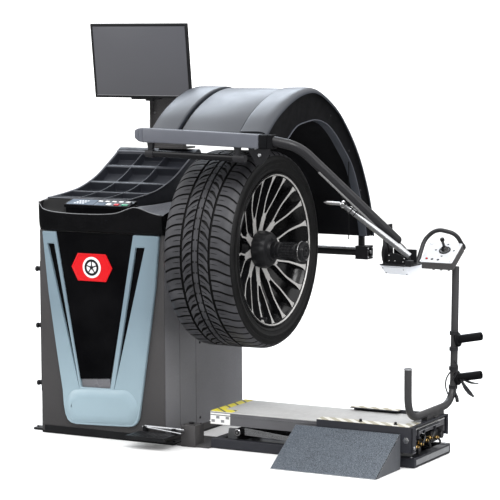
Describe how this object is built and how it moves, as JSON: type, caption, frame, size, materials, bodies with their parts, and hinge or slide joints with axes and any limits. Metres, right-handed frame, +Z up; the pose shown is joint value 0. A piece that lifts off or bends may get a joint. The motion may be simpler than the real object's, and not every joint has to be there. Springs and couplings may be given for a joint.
{
  "type": "wheel balancer",
  "caption": "Floor-standing car wheel balancer: cabinet with weight tray and screen, belt-driven spindle under a hinged curved guard, and a low scissor wheel lift with ramp.",
  "frame": {"origin": "centre of the cabinet's base plate, on the floor", "axes": "+X along the spindle from the cabinet towards the lift, +Y into the depth of the machine away from the operator, +Z up"},
  "size_m": [1.7028, 1.017, 1.562],
  "materials": {
    "graphite_paint": "textured powder coat",
    "bluegrey_panel": "satin",
    "black_gloss": "high gloss",
    "black_metal": "satin",
    "hood_plastic": "satin",
    "tray_plastic": "fine grain",
    "grey_metal": "satin",
    "belt_rubber": "matt",
    "tyre_rubber": "matt tread",
    "bright_steel": "brushed",
    "rim_alloy": "dark painted, machined faces",
    "platform_plate": "light grey",
    "ramp_paint": "hammered",
    "key_white": "satin",
    "key_red": "satin",
    "key_green": "satin",
    "screen_glass": "dim screen",
    "brass_fitting": "machined"
  },
  "bodies": {
    "cabinet": {"base_plate": "black_metal", "cabinet_shell": "graphite_paint", "back_panel": "graphite_paint", "front_shell": "bluegrey_panel", "front_insert": "black_gloss", "front_recess": "grey_metal", "front_badge": "key_red", "cone_peg_rail": "black_metal", "top_cap": "black_gloss", "weight_tray": "tray_plastic", "console_panel": "black_gloss", "monitor_column": "graphite_paint", "spindle_housing": "grey_metal", "drive_motor": "grey_metal", "drive_belt": "belt_rubber", "power_unit": "grey_metal", "hood_bracket": "black_metal", "side_box": "graphite_paint", "lift_base": "black_metal", "lift_cylinder": "bright_steel", "valve_block": "brass_fitting", "ramp": "ramp_paint"},
    "monitor": {"monitor_case": "black_metal", "monitor_screen": "screen_glass"},
    "rotor": {"spindle_shaft": "bright_steel", "shaft_flange": "bright_steel", "spindle_pulley": "bright_steel", "rim": "rim_alloy", "tyre": "tyre_rubber", "hub_cup": "black_gloss"},
    "nut": {"quick_nut": "black_gloss"},
    "motor_rotor": {"motor_pulley": "bright_steel"},
    "hood": {"hood_band_left": "hood_plastic", "hood_panel_middle": "hood_plastic", "hood_band_right": "hood_plastic", "hood_side_wall": "hood_plastic", "hood_beam": "grey_metal", "hood_handle": "black_gloss", "hood_tube": "black_metal", "outer_arm": "black_gloss", "sensor_box": "grey_metal"},
    "gauge": {"width_gauge": "bright_steel"},
    "pedal": {"brake_pedal": "black_metal"},
    "platform": {"lift_platform": "platform_plate"},
    "scissor_a": {"scissor_inner": "black_metal"},
    "scissor_b": {"scissor_outer": "black_metal"},
    "carriage": {"lift_carriage": "black_metal", "lift_pole": "graphite_paint", "control_box": "graphite_paint", "control_panel": "key_white", "control_hoop": "graphite_paint"},
    "stick": {"joystick": "black_gloss"},
    "key_1": {"key_1": "key_white"},
    "key_2": {"key_2": "key_white"},
    "key_3": {"key_3": "key_white"},
    "key_4": {"key_4": "key_white"},
    "key_5": {"key_5": "key_white"},
    "key_white": {"key_white": "key_white"},
    "key_red": {"key_red": "key_red"},
    "key_green": {"key_green": "key_green"}
  },
  "joints": [
    {"name": "spindle_spin", "type": "hinge", "parent": "cabinet", "child": "rotor", "pos_m": [0.3, -0.116, 0.728], "axis": [1, 0, 0], "continuous": true},
    {"name": "motor_spin", "type": "hinge", "parent": "cabinet", "child": "motor_rotor", "pos_m": [-0.03, -0.116, 0.33], "axis": [1, 0, 0], "continuous": true},
    {"name": "nut_slide", "type": "slide", "parent": "rotor", "child": "nut", "axis": [1, 0, 0], "range_m": [0, 0.02]},
    {"name": "hood_open", "type": "hinge", "parent": "cabinet", "child": "hood", "pos_m": [0.5, 0.478, 0.67], "axis": [-1, 0, 0], "range_deg": [0, 52]},
    {"name": "gauge_swing", "type": "hinge", "parent": "hood", "child": "gauge", "pos_m": [1.207, -0.17, 0.737], "axis": [0, -1, 0], "range_deg": [0, 20]},
    {"name": "monitor_tilt", "type": "hinge", "parent": "cabinet", "child": "monitor", "pos_m": [0, 0.18, 1.34], "axis": [1, 0, 0], "range_deg": [-6, 12]},
    {"name": "pedal_press", "type": "hinge", "parent": "cabinet", "child": "pedal", "pos_m": [0.28, -0.316, 0.064], "axis": [1, 0, 0], "range_deg": [0, 13], "stiffness_Nm_per_rad": 14, "springref_deg": -6.88},
    {"name": "lift_raise", "type": "slide", "parent": "cabinet", "child": "platform", "axis": [0, 0, 1], "range_m": [0, 0.2]},
    {"name": "scissor_a_swing", "type": "hinge", "parent": "cabinet", "child": "scissor_a", "pos_m": [0.51, -0.123, 0.052], "axis": [0, -1, 0], "range_deg": [0, 17]},
    {"name": "scissor_b_swing", "type": "hinge", "parent": "platform", "child": "scissor_b", "pos_m": [0.51, -0.123, 0.102], "axis": [0, 1, 0], "range_deg": [0, 17]},
    {"name": "carriage_travel", "type": "slide", "parent": "platform", "child": "carriage", "axis": [1, 0, 0], "range_m": [-0.24, 0]},
    {"name": "stick_tilt", "type": "hinge", "parent": "carriage", "child": "stick", "pos_m": [1.218, 0.12, 0.73121], "axis": [1, 0, 0], "range_deg": [-14, 14], "stiffness_Nm_per_rad": 0.6},
    {"name": "key_1_press", "type": "slide", "parent": "cabinet", "child": "key_1", "axis": [0, -0.2924, 0.9563], "range_m": [-0.0015, 0], "stiffness_N_per_m": 400, "springref_m": 0.0006},
    {"name": "key_2_press", "type": "slide", "parent": "cabinet", "child": "key_2", "axis": [0, -0.2924, 0.9563], "range_m": [-0.0015, 0], "stiffness_N_per_m": 400, "springref_m": 0.0006},
    {"name": "key_3_press", "type": "slide", "parent": "cabinet", "child": "key_3", "axis": [0, -0.2924, 0.9563], "range_m": [-0.0015, 0], "stiffness_N_per_m": 400, "springref_m": 0.0006},
    {"name": "key_4_press", "type": "slide", "parent": "cabinet", "child": "key_4", "axis": [0, -0.2924, 0.9563], "range_m": [-0.0015, 0], "stiffness_N_per_m": 400, "springref_m": 0.0006},
    {"name": "key_5_press", "type": "slide", "parent": "cabinet", "child": "key_5", "axis": [0, -0.2924, 0.9563], "range_m": [-0.0015, 0], "stiffness_N_per_m": 400, "springref_m": 0.0006},
    {"name": "key_white_press", "type": "slide", "parent": "cabinet", "child": "key_white", "axis": [0, -0.2924, 0.9563], "range_m": [-0.0015, 0], "stiffness_N_per_m": 400, "springref_m": 0.0006},
    {"name": "key_red_press", "type": "slide", "parent": "cabinet", "child": "key_red", "axis": [0, -0.2924, 0.9563], "range_m": [-0.0015, 0], "stiffness_N_per_m": 400, "springref_m": 0.0006},
    {"name": "key_green_press", "type": "slide", "parent": "cabinet", "child": "key_green", "axis": [0, -0.2924, 0.9563], "range_m": [-0.0015, 0], "stiffness_N_per_m": 400, "springref_m": 0.0006}
  ],
  "couplings": [
    {"joint": "motor_spin", "follows": "spindle_spin", "ratio": 4.0909},
    {"joint": "scissor_a_swing", "follows": "lift_raise", "rad_per_m": 1.469},
    {"joint": "scissor_b_swing", "follows": "lift_raise", "rad_per_m": 1.469}
  ]
}
